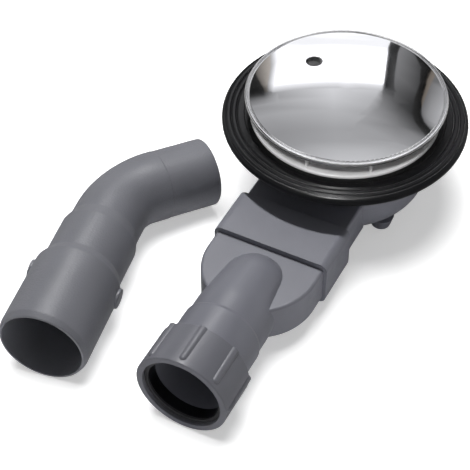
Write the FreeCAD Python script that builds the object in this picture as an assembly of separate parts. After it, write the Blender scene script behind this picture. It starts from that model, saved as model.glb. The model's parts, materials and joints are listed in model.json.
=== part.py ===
import FreeCAD, Part
import math
import os

# Low shower trap with a domed cap, a flat outlet box, a union nut and a loose stepped elbow.
# Millimetres. The origin is on the drain axis, at the face of the rubber flange that seals
# under the shower tray. +Z is up and the outlet leaves along -Y. The elbow lies beside the trap.

os.makedirs("parts", exist_ok=True)

# Running and seating gaps
SLIP_GAP = 0.15
SOCKET_GAP = 0.35
THREAD_GAP = 0.2
SEAL_GAP = 0.05

# Length that a cutting or joining shape stands in or out of a face
SPARE = 1.0

# Rounded edges
FINE_EDGE = 0.3
EDGE = 0.5
SOFT_EDGE = 1.0
WIDE_EDGE = 2.0

# Round housing
HOUSING_R = 51.0
HOUSING_WALL = 3.0
MOUTH_WALL = 4.5
SEAM_DEPTH = 29.9
HOUSING_DEPTH = 51.1
FLANGE_W = 15.0
FLANGE_T = 2.4

# Deck inside the housing, with the throat that holds the inlet tube
DECK_DEPTH = 11.5
DECK_T = 2.5
THROAT_IN = 20.5
THROAT_WALL = 2.4
THROAT_DROP = 2.5
BOSS_IN = 5.1
BOSS_WALL = 1.9
BOSS_FLOOR = 2.0
BOSS_ANGLES = (90.0, 210.0, 330.0)

# Bowl under the seam
BOWL_WALL = 2.6
BOWL_DRAFT = 9.0
BOWL_SHOULDER_DROP = 12.5
BOWL_SHOULDER_IN = 1.1
BOWL_ROUND = 12.0
SEAM_LINE_IN = 0.5
FOOT_IN = 2.85
FOOT_ANGLE = 28.2
FOOT_R = 5.5
FOOT_FLARE = 1.8
FOOT_H = 6.0
CUP_RING_T = 1.4
CUP_RING_H = 2.0
RIB_COUNT = 17
RIB_PITCH = 6.5
RIB_T = 1.5
RIB_TOP_DROP = 1.0

# Rubber flange gasket
GASKET_T = 2.6
GASKET_RIM = 4.3
GASKET_RIM_LEVEL = 0.1
GASKET_UNDER_T = 1.6
GASKET_UNDER_IN = 8.0
GROOVE_COUNT = 3
GROOVE_PITCH = 3.15
GROOVE_OUTER_IN = 2.2
GROOVE_DEPTH = 0.9
GROOVE_HALF = 0.95
GROOVE_ROUND = 0.3
RECESS_LEDGE = 3.3

# Flat washer under the clamp ring
WASHER_T = 1.2
WASHER_EDGE_GAP = 0.2

# Clamp ring
RING_LEDGE = 11.8
RING_EDGE_H = 2.0
RING_EDGE_W = 2.0
RING_EDGE_ROUND = 0.9
RING_T = 1.3
RING_LAND = 2.6
RING_DISH = 0.4
NECK_GAP = 3.9
NECK_WALL = 2.3
NECK_FLOOR_T = 2.5
SEAT_OUT = 0.6

# Clamp screws and brass inserts
SCREW_R = 2.5
SCREW_LENGTH = 14.0
SCREW_HOLE_GAP = 0.3
HEAD_R = 4.2
HEAD_H = 2.3
CROSS_W = 1.1
CROSS_SPAN = 4.4
CROSS_DEPTH = 1.3
INSERT_R = 3.2
INSERT_H = 9.0
INSERT_TOP_GAP = 0.5

# Inlet tube, its seal and the water cup
TUBE_RIM_OUT = 4.0
TUBE_RIM_T = 1.4
TUBE_WALL = 2.0
TUBE_IN = 6.0
TUBE_TAPER = 5.0
TUBE_BOTTOM_DEPTH = 42.0
STRAINER_SEAT_DEPTH = 2.8
STRAINER_SEAT_W = 2.4
ORING_R = 1.15
ORING_DEPTH = 3.2
CUP_OUT = 3.5
CUP_WALL = 2.0
CUP_RIM_DEPTH = 21.0

# Hair strainer
STRAINER_T = 1.4
SLOT_COUNT = 12
SLOT_W = 2.2
SLOT_IN_R = 7.0
SLOT_MARGIN = 2.6
KNOB_R = 3.0
KNOB_H = 7.0

# Domed cap and its carrier
CAP_OVERHANG = 3.1
CAP_BEAD_Z = 13.3
CAP_RISE = 4.2
CAP_T = 1.4
CAP_BEAD_R = 0.95
CAP_BEAD_DROP = 0.35
CAP_GROOVE_W = 0.7
CAP_ROLL_R = 0.5
CAP_SKIRT_IN = 0.9
CAP_SKIRT_T = 1.2
CAP_SKIRT_H = 2.2
LIFT_HOLE_R = 4.6
LIFT_HOLE_X = -27.1
LIFT_HOLE_Y = 14.7
LIFT_HOLE_WALL = 1.0
LIFT_HOLE_DEPTH = 3.8
CARRIER_T = 1.6
CARRIER_IN = 5.5
CARRIER_HOLE_IN = 3.3
FIN_COUNT = 9
FIN_T = 1.4
FIN_SEAT_GAP = 0.02
HOOP_DEPTH = 5.5
HOOP_H = 2.5

# Flat outlet: duct and socket on the housing, then the adapter box
DUCT_W = 61.6
DUCT_H = 22.8
DUCT_Z = -35.6
DUCT_WALL = 2.5
DUCT_START_IN = 19.0
DUCT_CORNER = 1.6
DUCT_INNER_CORNER = 1.0
SOCKET_START = 64.6
SOCKET_END = 95.4
SOCKET_WALL = 3.25
SOCKET_DEPTH = 24.0
SOCKET_CORNER = 4.6
FLAT_W = 64.2
FLAT_H = 22.6
FLAT_TURN_Y = 106.0
FLAT_NOSE = 34.4
FLAT_EDGE_R = 1.5
ADAPTER_WALL = 2.5

# Round part of the adapter
PIPE_Z = -34.5
PIPE_R = 21.4
DOME_R = 18.9
DOME_Y = 116.0
CONE_END_Y = 138.0
CONE_BLEND_R = 40.0
PIPE_STEP_Y = 152.0
PIPE_STEP_R = 22.3
PIPE_STEP_LENGTH = 1.6
PIPE_JOIN = 5.0
PIPE_BORE_WALL = 2.5
THREAD_R = 23.5
THREAD_START_IN = 2.5
THREAD_PITCH = 2.5
THREAD_DEPTH = 0.7
SPIGOT_DEPTH = 23.0

# Union nut, cone seal and slip washer
NUT_START = 171.0
NUT_LENGTH = 25.7
NUT_R = 26.0
NUT_HOLE_R = 22.4
NUT_LIP = 2.4
NUT_BACK_LIP = 1.5
NUT_EDGE = 0.6
NUT_RIB_COUNT = 8
NUT_RIB_R = 2.3
NUT_RIB_REAR_R = 3.0
NUT_RIB_SINK = 0.8
NUT_RIB_PROUD = 1.0
NUT_RIB_END = 1.8
SLIP_T = 1.2
SEAL_LENGTH = 5.1
SEAL_SEAT_IN = 1.6
SEAL_BORE_GAP = 0.2
SEAL_NOSE_GAP = 0.3
SEAL_NOSE_T = 0.2
SEAL_FACE_GAP = 0.1

# Stepped elbow
SPIGOT_R = 20.0
SPIGOT_LENGTH = 31.0
ELBOW_R = 20.25
ELBOW_MID_R = 22.3
ELBOW_END_R = 25.0
ELBOW_WALL = 2.4
ELBOW_BEVEL_R = 23.7
ELBOW_BEVEL_LENGTH = 3.5
ELBOW_END_LENGTH = 50.0
ELBOW_MID_LENGTH = 25.0
ELBOW_RAMP_1 = 6.0
ELBOW_RAMP_2 = 7.5
ELBOW_ANGLE = 45.0
ELBOW_ROUND = 3.0
BEND_BEFORE = 5.3
BEND_AFTER = 0.6
BEND_SPARE = 0.52
BEND_OUTER_R = 75.0
BEND_INNER_R = 17.0
BEND_SECTIONS = 9
LUG_Y = 46.2
LUG_R = 5.8
LUG_PROUD = 1.15
LUG_ROUND = 0.9
ELBOW_X = -80.3
ELBOW_Y = -201.5
ELBOW_TURN = 9.5

X_AXIS = FreeCAD.Vector(1, 0, 0)
Y_AXIS = FreeCAD.Vector(0, 1, 0)
Z_AXIS = FreeCAD.Vector(0, 0, 1)
ORIGIN = FreeCAD.Vector(0, 0, 0)

# Levels and radii that follow from the sizes above
FLANGE_R = HOUSING_R + FLANGE_W
FLANGE_TOP_Z = -GASKET_T
FLANGE_LOW_Z = FLANGE_TOP_Z - FLANGE_T
GASKET_R = FLANGE_R + GASKET_RIM
GASKET_LOW_Z = FLANGE_LOW_Z - GASKET_UNDER_T
HOUSING_IN_R = HOUSING_R - HOUSING_WALL
MOUTH_R = HOUSING_R - MOUTH_WALL
THROAT_R = MOUTH_R - THROAT_IN
SEAT_R = THROAT_R + SEAT_OUT
BOWL_BOTTOM_R = HOUSING_R - BOWL_DRAFT
FOOT_CIRCLE_R = BOWL_BOTTOM_R - FOOT_IN
NECK_R = MOUTH_R - NECK_GAP
NECK_IN_R = NECK_R - NECK_WALL
RING_R = NECK_R + RING_LEDGE
RECESS_R = RING_R + RECESS_LEDGE
BOSS_CIRCLE_R = NECK_IN_R - BOSS_IN
CAP_R = RING_R + CAP_OVERHANG
CARRIER_R = CAP_R - CARRIER_IN
CARRIER_IN_R = NECK_IN_R - CARRIER_HOLE_IN
DECK_TOP_Z = -DECK_DEPTH
DECK_LOW_Z = DECK_TOP_Z - DECK_T
SEAM_Z = -SEAM_DEPTH
BOTTOM_Z = -HOUSING_DEPTH
FLOOR_Z = BOTTOM_Z + BOWL_WALL
INSERT_TOP_Z = DECK_TOP_Z - INSERT_TOP_GAP
INSERT_LOW_Z = INSERT_TOP_Z - INSERT_H
BOSS_R = INSERT_R + BOSS_WALL
NECK_FLOOR_Z = DECK_TOP_Z + NECK_FLOOR_T
SCREW_LOW_Z = NECK_FLOOR_Z - SCREW_LENGTH
TUBE_TOP_R = THROAT_R - SLIP_GAP
TUBE_R = THROAT_R - TUBE_IN
TUBE_RIM_R = THROAT_R + TUBE_RIM_OUT
CUP_R = THROAT_R + CUP_OUT
TUBE_RIM_Z = NECK_FLOOR_Z + TUBE_RIM_T
STRAINER_Z = TUBE_RIM_Z - STRAINER_SEAT_DEPTH
STRAINER_R = TUBE_TOP_R - TUBE_WALL - SLIP_GAP
DUCT_START = HOUSING_R - DUCT_START_IN
SOCKET_STOP = SOCKET_END - SOCKET_DEPTH
NUT_END = NUT_START + NUT_LENGTH
THREAD_START = NUT_START + THREAD_START_IN
THREAD_END = NUT_END - NUT_LIP - SLIP_T - SEAL_LENGTH
SPIGOT_STOP = THREAD_END - SPIGOT_DEPTH
PIPE_END = PIPE_STEP_Y - PIPE_STEP_LENGTH
NUT_IN_R = THREAD_R + THREAD_GAP
GROUND_Z = PIPE_Z - NUT_R - NUT_RIB_PROUD
SPIGOT_BORE_R = SPIGOT_R + SOCKET_GAP
BEND_REACH = (BEND_OUTER_R - ELBOW_R) * math.tan(math.radians(ELBOW_ANGLE / 2)) + BEND_SPARE


def corner_arc(before, corner, after, radius):
    """Two tangent points and the middle of the arc that rounds one corner of an outline."""
    a = (before - corner).normalize()
    b = (after - corner).normalize()
    half = math.acos(max(-1.0, min(1.0, a.dot(b)))) / 2
    reach = radius / math.tan(half)
    centre = corner + (a + b).normalize() * (radius / math.sin(half))
    middle = centre + (corner - centre).normalize() * radius
    return corner + a * reach, middle, corner + b * reach


def outline(corners):
    """Closed wire through (point, corner radius) pairs. A radius of 0 leaves a sharp corner."""
    count = len(corners)
    pieces = []
    ends = []
    for i in range(count):
        point, radius = corners[i]
        if radius:
            before = corners[i - 1][0]
            after = corners[(i + 1) % count][0]
            start, middle, end = corner_arc(before, point, after, radius)
            pieces.append(Part.Arc(start, middle, end).toShape())
            ends.append((start, end))
        else:
            ends.append((point, point))
    for i in range(count):
        start = ends[i][1]
        end = ends[(i + 1) % count][0]
        if start.distanceToPoint(end) > 1e-6:
            pieces.append(Part.LineSegment(start, end).toShape())
    return Part.Wire(Part.__sortEdges__(pieces))


def turned(corners):
    """Solid of revolution about Z from (radius, height, corner radius) triples."""
    wire = outline([(FreeCAD.Vector(r, 0, z), fillet) for r, z, fillet in corners])
    return Part.Face(wire).revolve(ORIGIN, Z_AXIS, 360)


def turned_on_pipe(corners):
    """Solid of revolution about the pipe's axis from (distance, radius, corner radius) triples."""
    wire = outline([(FreeCAD.Vector(0, -y, PIPE_Z + r), fillet) for y, r, fillet in corners])
    return Part.Face(wire).revolve(FreeCAD.Vector(0, 0, PIPE_Z), Y_AXIS, 360)


def disc(radius, low, high, x=0.0, y=0.0):
    """Upright cylinder between two levels."""
    return Part.makeCylinder(radius, high - low, FreeCAD.Vector(x, y, low), Z_AXIS)


def on_pipe(radius, start, end):
    """Cylinder on the pipe's axis, from one distance along the outlet to another."""
    return Part.makeCylinder(radius, end - start, FreeCAD.Vector(0, -start, PIPE_Z), Y_AXIS * -1)


def flat_bar(width, height, centre_z, corner, start, end):
    """Flat bar with rounded corners that runs along the outlet."""
    low = centre_z - height / 2
    high = centre_z + height / 2
    half = width / 2
    square = [(-half, low), (half, low), (half, high), (-half, high)]
    wire = outline([(FreeCAD.Vector(x, -start, z), corner) for x, z in square])
    return Part.Face(wire).extrude(FreeCAD.Vector(0, start - end, 0))


def head_plate(half_width, nose, low, high, start):
    """Upright plate with straight sides and a half-oval nose in front of the adapter's turning line."""
    centre = FreeCAD.Vector(0, -FLAT_TURN_Y, low)
    back = FreeCAD.Vector(-half_width, -start, low)
    side = FreeCAD.Vector(-half_width, -FLAT_TURN_Y, low)
    tip = FreeCAD.Vector(0, -FLAT_TURN_Y - nose, low)
    far_side = FreeCAD.Vector(half_width, -FLAT_TURN_Y, low)
    far_back = FreeCAD.Vector(half_width, -start, low)
    oval = Part.Ellipse(tip, far_side, centre)
    edges = [
        Part.LineSegment(back, side).toShape(),
        Part.ArcOfEllipse(oval, -math.pi / 2, math.pi / 2).toShape(),
        Part.LineSegment(far_side, far_back).toShape(),
        Part.LineSegment(far_back, back).toShape(),
    ]
    wire = Part.Wire(Part.__sortEdges__(edges))
    return Part.Face(wire).extrude(FreeCAD.Vector(0, 0, high - low))


def level_edges(solid, but_not_at_y):
    """Edges of an upright plate that lie level, without those at one distance along the outlet."""
    found = []
    for edge in solid.Edges:
        box = edge.BoundBox
        level = box.ZLength < 1e-6
        at_back = box.YLength < 1e-6 and abs(box.YMax - but_not_at_y) < 1e-6
        if level and not at_back:
            found.append(edge)
    return found


def domed_pipe(shrink, end):
    """Pipe that starts as a dome in the flat head, widens as a cone and then runs straight."""
    dome_r = DOME_R - shrink
    pipe_r = PIPE_R - shrink
    slope = math.atan((PIPE_R - DOME_R) / (CONE_END_Y - DOME_Y))
    start = DOME_Y - dome_r * math.sin(slope)
    cone = turned_on_pipe([
        (start, 0, 0),
        (start, dome_r * math.cos(slope), 0),
        (CONE_END_Y, pipe_r, CONE_BLEND_R),
        (end, pipe_r, 0),
        (end, 0, 0),
    ])
    return cone.fuse(Part.makeSphere(dome_r, FreeCAD.Vector(0, -DOME_Y, PIPE_Z)))


def boss_places():
    """Centres of the three clamp screws."""
    places = []
    for angle in BOSS_ANGLES:
        turn = math.radians(angle)
        places.append((BOSS_CIRCLE_R * math.cos(turn), BOSS_CIRCLE_R * math.sin(turn)))
    return places


def fuse_all(shapes):
    """One solid from several that touch or overlap."""
    return shapes[0].fuse(shapes[1:]).removeSplitter()


def duct_outside():
    """Outer form of the duct and its socket, which the housing and the bowl share."""
    duct = flat_bar(DUCT_W, DUCT_H, DUCT_Z, DUCT_CORNER, DUCT_START, SOCKET_START + SOCKET_WALL)
    socket_w = DUCT_W + 2 * SOCKET_WALL
    socket_h = DUCT_H + 2 * SOCKET_WALL
    socket = flat_bar(socket_w, socket_h, DUCT_Z, SOCKET_CORNER, SOCKET_START, SOCKET_END)
    return duct, socket


def duct_inside():
    """Water way of the duct and the deeper pocket that takes the adapter."""
    inner_w = DUCT_W - 2 * DUCT_WALL
    inner_h = DUCT_H - 2 * DUCT_WALL
    way = flat_bar(inner_w, inner_h, DUCT_Z, DUCT_INNER_CORNER, DUCT_START, SOCKET_END)
    pocket_w = DUCT_W + 2 * SEAL_GAP
    pocket_h = DUCT_H + 2 * SEAL_GAP
    pocket = flat_bar(pocket_w, pocket_h, DUCT_Z, DUCT_CORNER, SOCKET_STOP, SOCKET_END + SPARE)
    return way.fuse(pocket)


def trap_housing():
    """Upper half of the housing: flange, mouth, deck with its throat, and wall down to the seam."""
    shell = turned([
        (HOUSING_R, SEAM_Z, 0),
        (HOUSING_R, FLANGE_LOW_Z, 0),
        (FLANGE_R, FLANGE_LOW_Z, EDGE),
        (FLANGE_R, FLANGE_TOP_Z, EDGE),
        (MOUTH_R, FLANGE_TOP_Z, EDGE),
        (MOUTH_R, DECK_TOP_Z, SOFT_EDGE),
        (THROAT_R, DECK_TOP_Z, EDGE),
        (THROAT_R, DECK_LOW_Z - THROAT_DROP, 0),
        (THROAT_R + THROAT_WALL, DECK_LOW_Z - THROAT_DROP, 0),
        (THROAT_R + THROAT_WALL, DECK_LOW_Z, EDGE),
        (HOUSING_IN_R, DECK_LOW_Z, SOFT_EDGE),
        (HOUSING_IN_R, SEAM_Z, 0),
    ])
    boss_low = SCREW_LOW_Z - BOSS_FLOOR
    bosses = [disc(BOSS_R, boss_low, DECK_TOP_Z, x, y) for x, y in boss_places()]
    shell = fuse_all([shell] + bosses)
    for x, y in boss_places():
        shell = shell.cut(disc(INSERT_R, INSERT_LOW_Z, DECK_TOP_Z + SPARE, x, y))
        shell = shell.cut(disc(SCREW_R + SCREW_HOLE_GAP, SCREW_LOW_Z - INSERT_TOP_GAP, DECK_TOP_Z, x, y))
    duct, socket = duct_outside()
    return shell.cut(duct)


def bowl_ribs(outside):
    """Upright stiffening ribs on the back of the bowl, away from the outlet."""
    ribs = []
    top = SEAM_Z - RIB_TOP_DROP
    for i in range(RIB_COUNT):
        angle = 90.0 + (i - (RIB_COUNT - 1) / 2) * RIB_PITCH
        rib = Part.makeBox(
            HOUSING_R - SEAM_LINE_IN - BOWL_BOTTOM_R + BOWL_WALL, RIB_T, top - BOTTOM_Z,
            FreeCAD.Vector(BOWL_BOTTOM_R - BOWL_WALL, -RIB_T / 2, BOTTOM_Z))
        rib.rotate(ORIGIN, Z_AXIS, angle)
        ribs.append(rib.cut(outside))
    return ribs


def trap_bowl():
    """Lower half of the housing with the duct, the adapter's socket, the feet and the ribs."""
    top_r = HOUSING_R - SEAM_LINE_IN
    shoulder_z = SEAM_Z - BOWL_SHOULDER_DROP
    shoulder_r = top_r - BOWL_SHOULDER_IN
    inner_top_r = HOUSING_R - HOUSING_WALL
    outside = turned([
        (0, BOTTOM_Z, 0),
        (BOWL_BOTTOM_R, BOTTOM_Z, WIDE_EDGE),
        (shoulder_r, shoulder_z, BOWL_ROUND),
        (top_r, SEAM_Z, 0),
        (0, SEAM_Z, 0),
    ])
    inside = turned([
        (0, FLOOR_Z, 0),
        (BOWL_BOTTOM_R - BOWL_WALL, FLOOR_Z, WIDE_EDGE),
        (shoulder_r - BOWL_WALL, shoulder_z, BOWL_ROUND - BOWL_WALL),
        (inner_top_r, SEAM_Z, 0),
        (0, SEAM_Z, 0),
    ])
    duct, socket = duct_outside()
    way = duct_inside()
    duct_end = duct.cut(disc(HOUSING_IN_R, BOTTOM_Z, FLANGE_LOW_Z))
    feet = []
    for angle in (FOOT_ANGLE, 180 - FOOT_ANGLE, 180 + FOOT_ANGLE, -FOOT_ANGLE):
        turn = math.radians(angle)
        place = FreeCAD.Vector(
            FOOT_CIRCLE_R * math.cos(turn), FOOT_CIRCLE_R * math.sin(turn), BOTTOM_Z - FOOT_H)
        feet.append(Part.makeCone(FOOT_R, FOOT_R + FOOT_FLARE, FOOT_H + SPARE, place, Z_AXIS))
    body = fuse_all([outside, duct_end, socket] + feet + bowl_ribs(outside))
    body = body.cut(inside)
    above = disc(HOUSING_IN_R, SEAM_Z, FLANGE_LOW_Z)
    body = body.cut(above)
    body = body.cut(way)
    ring_in_r = CUP_R + SLIP_GAP
    ring = disc(ring_in_r + CUP_RING_T, FLOOR_Z - SPARE, FLOOR_Z + CUP_RING_H)
    ring = ring.cut(disc(ring_in_r, FLOOR_Z, FLOOR_Z + CUP_RING_H + SPARE))
    return fuse_all([body, ring])


def flange_gasket():
    """Ribbed rubber ring that wraps round the housing's flange and seals under the tray."""
    rim = (GASKET_T + FLANGE_T + GASKET_UNDER_T) / 2 - GASKET_RIM_LEVEL / 2
    ring = turned([
        (MOUTH_R + SLIP_GAP, FLANGE_TOP_Z, 0),
        (FLANGE_R, FLANGE_TOP_Z, EDGE),
        (FLANGE_R, FLANGE_LOW_Z, EDGE),
        (FLANGE_R - GASKET_UNDER_IN, FLANGE_LOW_Z, 0),
        (FLANGE_R - GASKET_UNDER_IN, GASKET_LOW_Z, EDGE),
        (GASKET_R, GASKET_LOW_Z, rim),
        (GASKET_R, 0, rim),
        (RECESS_R, 0, 0),
        (RECESS_R, -WASHER_T, 0),
        (MOUTH_R + SLIP_GAP, -WASHER_T, 0),
    ])
    for i in range(GROOVE_COUNT):
        middle = GASKET_R - GROOVE_OUTER_IN - i * GROOVE_PITCH
        groove = turned([
            (middle - GROOVE_HALF, GROOVE_DEPTH, 0),
            (middle - GROOVE_HALF, 0, 0),
            (middle, -GROOVE_DEPTH, GROOVE_ROUND),
            (middle + GROOVE_HALF, 0, 0),
            (middle + GROOVE_HALF, GROOVE_DEPTH, 0),
        ])
        ring = ring.cut(groove)
    return ring


def ring_washer():
    """Flat black washer in the gasket's recess, under the clamp ring."""
    outer = RECESS_R - WASHER_EDGE_GAP
    return turned([
        (MOUTH_R + SLIP_GAP, -WASHER_T, 0),
        (outer, -WASHER_T, 0),
        (outer, 0, FINE_EDGE),
        (MOUTH_R + SLIP_GAP, 0, 0),
    ])


def ring_top_z(radius):
    """Height of the clamp ring's dished upper face."""
    outer = RING_R - RING_LAND
    share = (outer - radius) / (outer - NECK_R)
    return RING_T + (RING_EDGE_H - RING_T) * RING_DISH * (1 - share)


def clamp_ring():
    """White ring that clamps the tray: dished flange, neck and a floor with three screw holes."""
    outer = RING_R - RING_LAND
    ring = turned([
        (RING_R, 0, FINE_EDGE),
        (RING_R, RING_EDGE_H, RING_EDGE_ROUND),
        (RING_R - RING_EDGE_W, RING_EDGE_H, RING_EDGE_ROUND),
        (outer, ring_top_z(outer), 0),
        (NECK_IN_R, ring_top_z(NECK_IN_R), SOFT_EDGE),
        (NECK_IN_R, NECK_FLOOR_Z, EDGE),
        (SEAT_R, NECK_FLOOR_Z, FINE_EDGE),
        (SEAT_R, DECK_TOP_Z, 0),
        (NECK_R, DECK_TOP_Z, SOFT_EDGE),
        (NECK_R, 0, 0),
    ])
    for x, y in boss_places():
        ring = ring.cut(disc(SCREW_R + SCREW_HOLE_GAP, DECK_TOP_Z - SPARE, NECK_FLOOR_Z + SPARE, x, y))
    return ring


def clamp_screw(x, y):
    """Stainless pan-head screw with a cross recess."""
    top = NECK_FLOOR_Z + HEAD_H
    screw = turned([
        (0, SCREW_LOW_Z, 0),
        (SCREW_R, SCREW_LOW_Z, EDGE),
        (SCREW_R, NECK_FLOOR_Z, 0),
        (HEAD_R, NECK_FLOOR_Z, FINE_EDGE),
        (HEAD_R, top, SOFT_EDGE),
        (0, top, 0),
    ])
    half = CROSS_SPAN / 2
    for width, depth in ((CROSS_W, CROSS_SPAN), (CROSS_SPAN, CROSS_W)):
        corner = FreeCAD.Vector(-width / 2, -depth / 2, top - CROSS_DEPTH)
        screw = screw.cut(Part.makeBox(width, depth, half, corner))
    screw.translate(FreeCAD.Vector(x, y, 0))
    return screw


def brass_insert(x, y):
    """Threaded brass insert pressed into one boss."""
    insert = turned([
        (SCREW_R + SEAL_GAP, INSERT_LOW_Z, FINE_EDGE),
        (INSERT_R, INSERT_LOW_Z, FINE_EDGE),
        (INSERT_R, INSERT_TOP_Z, FINE_EDGE),
        (SCREW_R + SEAL_GAP, INSERT_TOP_Z, FINE_EDGE),
    ])
    insert.translate(FreeCAD.Vector(x, y, 0))
    return insert


def inlet_tube():
    """Lift-out tube that dips into the water cup, with a seat for the strainer."""
    throat_low = DECK_LOW_Z - THROAT_DROP
    groove_z = DECK_TOP_Z - ORING_DEPTH
    groove_r = TUBE_TOP_R - 2 * ORING_R + SLIP_GAP
    seat_r = STRAINER_R - STRAINER_SEAT_W
    tube = turned([
        (TUBE_RIM_R, NECK_FLOOR_Z, FINE_EDGE),
        (TUBE_RIM_R, TUBE_RIM_Z, EDGE),
        (TUBE_TOP_R - TUBE_WALL, TUBE_RIM_Z, EDGE),
        (TUBE_TOP_R - TUBE_WALL, STRAINER_Z, 0),
        (seat_r, STRAINER_Z, 0),
        (seat_r, throat_low, SOFT_EDGE),
        (TUBE_R - TUBE_WALL, throat_low - TUBE_TAPER, SOFT_EDGE),
        (TUBE_R - TUBE_WALL, -TUBE_BOTTOM_DEPTH, 0),
        (TUBE_R, -TUBE_BOTTOM_DEPTH, EDGE),
        (TUBE_R, throat_low - TUBE_TAPER, SOFT_EDGE),
        (TUBE_TOP_R, throat_low, SOFT_EDGE),
        (TUBE_TOP_R, NECK_FLOOR_Z, 0),
    ])
    groove = disc(TUBE_TOP_R + SPARE, groove_z - ORING_R, groove_z + ORING_R)
    groove = groove.cut(disc(groove_r, groove_z - ORING_R, groove_z + ORING_R))
    return tube.cut(groove)


def inlet_tube_seal():
    """Rubber O-ring between the inlet tube and the throat."""
    centre_r = THROAT_R - ORING_R - SEAL_GAP
    centre = FreeCAD.Vector(0, 0, DECK_TOP_Z - ORING_DEPTH)
    return Part.makeTorus(centre_r, ORING_R - SEAL_GAP, centre, Z_AXIS)


def water_cup():
    """Cup on the bowl's floor that holds the water seal round the inlet tube."""
    return turned([
        (0, FLOOR_Z, 0),
        (CUP_R, FLOOR_Z, SOFT_EDGE),
        (CUP_R, -CUP_RIM_DEPTH, EDGE),
        (CUP_R - CUP_WALL, -CUP_RIM_DEPTH, EDGE),
        (CUP_R - CUP_WALL, FLOOR_Z + CUP_WALL, WIDE_EDGE),
        (0, FLOOR_Z + CUP_WALL, 0),
    ])


def hair_strainer():
    """Slotted disc with a lifting knob that catches hair at the top of the inlet tube."""
    top = STRAINER_Z + STRAINER_T
    plate = turned([
        (0, STRAINER_Z, 0),
        (STRAINER_R, STRAINER_Z, FINE_EDGE),
        (STRAINER_R, top, FINE_EDGE),
        (KNOB_R, top, SOFT_EDGE),
        (KNOB_R, top + KNOB_H, SOFT_EDGE),
        (0, top + KNOB_H, 0),
    ])
    length = STRAINER_R - STRAINER_SEAT_W - SLOT_MARGIN - SLOT_IN_R
    slots = []
    for i in range(SLOT_COUNT):
        bar = Part.makeBox(
            length, SLOT_W, STRAINER_T + 2 * SPARE,
            FreeCAD.Vector(SLOT_IN_R, -SLOT_W / 2, STRAINER_Z - SPARE))
        ends = [
            disc(SLOT_W / 2, STRAINER_Z - SPARE, top + SPARE, SLOT_IN_R),
            disc(SLOT_W / 2, STRAINER_Z - SPARE, top + SPARE, SLOT_IN_R + length),
        ]
        slot = fuse_all([bar] + ends)
        slot.rotate(ORIGIN, Z_AXIS, i * 360.0 / SLOT_COUNT)
        slots.append(slot)
    return plate.cut(slots)


def dome_z(radius, drop=0.0):
    """Height of the cap's dome at a radius, or of a face at an even depth below it."""
    sphere_r = dome_sphere_r()
    centre_z = CAP_BEAD_Z + CAP_RISE - sphere_r
    return centre_z + math.sqrt((sphere_r - drop) ** 2 - radius ** 2)


def dome_sphere_r():
    """Radius of the sphere that the dome is cut from."""
    return (CAP_R ** 2 + CAP_RISE ** 2) / (2 * CAP_RISE)


def dome_point(radius, drop):
    return FreeCAD.Vector(radius, 0, dome_z(radius, drop))


def dome_arc(inner_r, outer_r, drop):
    """Arc on or under the dome between two radii."""
    middle_r = (inner_r + outer_r) / 2
    points = [dome_point(r, drop) for r in (inner_r, middle_r, outer_r)]
    return Part.Arc(points[0], points[1], points[2]).toShape()


def lifting_hole(solid):
    """The cap with its lifting hole, which has a short wall under the dome and a rounded upper edge."""
    wall_r = LIFT_HOLE_R + LIFT_HOLE_WALL
    middle_r = math.hypot(LIFT_HOLE_X, LIFT_HOLE_Y)
    top = dome_z(middle_r)
    wall_top = dome_z(middle_r + wall_r, CAP_T / 2)
    solid = solid.fuse(disc(wall_r, top - LIFT_HOLE_DEPTH, wall_top, LIFT_HOLE_X, LIFT_HOLE_Y))
    solid = solid.cut(
        disc(LIFT_HOLE_R, top - 2 * LIFT_HOLE_DEPTH, top + CAP_RISE, LIFT_HOLE_X, LIFT_HOLE_Y))
    rims = [
        edge for edge in solid.Edges
        if edge.BoundBox.ZMin > top - CAP_T / 2
        and max(edge.BoundBox.XLength, edge.BoundBox.YLength) < 2 * wall_r
    ]
    return solid.makeFillet(FINE_EDGE, rims)


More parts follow.
